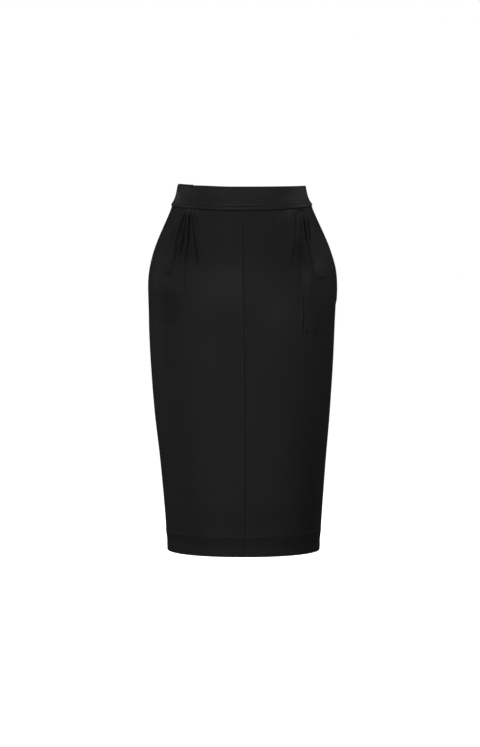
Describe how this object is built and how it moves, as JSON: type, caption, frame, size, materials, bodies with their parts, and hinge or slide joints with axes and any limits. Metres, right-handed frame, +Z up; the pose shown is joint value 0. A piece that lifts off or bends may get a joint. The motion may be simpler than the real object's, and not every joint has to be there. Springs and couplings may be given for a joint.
{
  "type": "pencil skirt",
  "caption": "Black knee-length pencil skirt in its worn, hollow form, with a wide waistband, soft waist tucks, side pockets and a zip at the back.",
  "frame": {"origin": "centre of the waist opening at the middle height of the waistband, where the wearer holds the skirt up; halfway between the side seams' line, not the centre of the bounds", "axes": "+Z up along the body from hem to waist, -Y to the front, +X to the wearer's left"},
  "size_m": [0.3369, 0.2512, 0.6515],
  "materials": {
    "black_cloth": "fine matte twill with a faint soft sheen, black",
    "waistband_cloth": "the same black cloth, folded and pressed flat",
    "pocketing": "plain woven black pocketing, matte",
    "zip_tape": "black woven zip tape, matte",
    "black_metal": "black enamelled metal, satin"
  },
  "bodies": {
    "skirt": {"waistband_front": "waistband_cloth", "waistband_back_left": "waistband_cloth", "waistband_back_right": "waistband_cloth", "front_panel_left": "black_cloth", "front_panel_right": "black_cloth", "back_panel_left": "black_cloth", "back_panel_right": "black_cloth", "pocket_bag_front_left": "pocketing", "pocket_bag_front_right": "pocketing", "pocket_bag_back_left": "pocketing", "pocket_bag_back_right": "pocketing", "zip_tape_left": "zip_tape", "zip_tape_right": "zip_tape", "zip_slider": "black_metal"},
    "zip_pull": {"zip_pull": "black_metal"}
  },
  "joints": [
    {"name": "pull_swing", "type": "hinge", "parent": "skirt", "child": "zip_pull", "pos_m": [-0.00072, 0.09058, 0.00342], "axis": [1, 0, 0], "range_deg": [0, 165]}
  ]
}
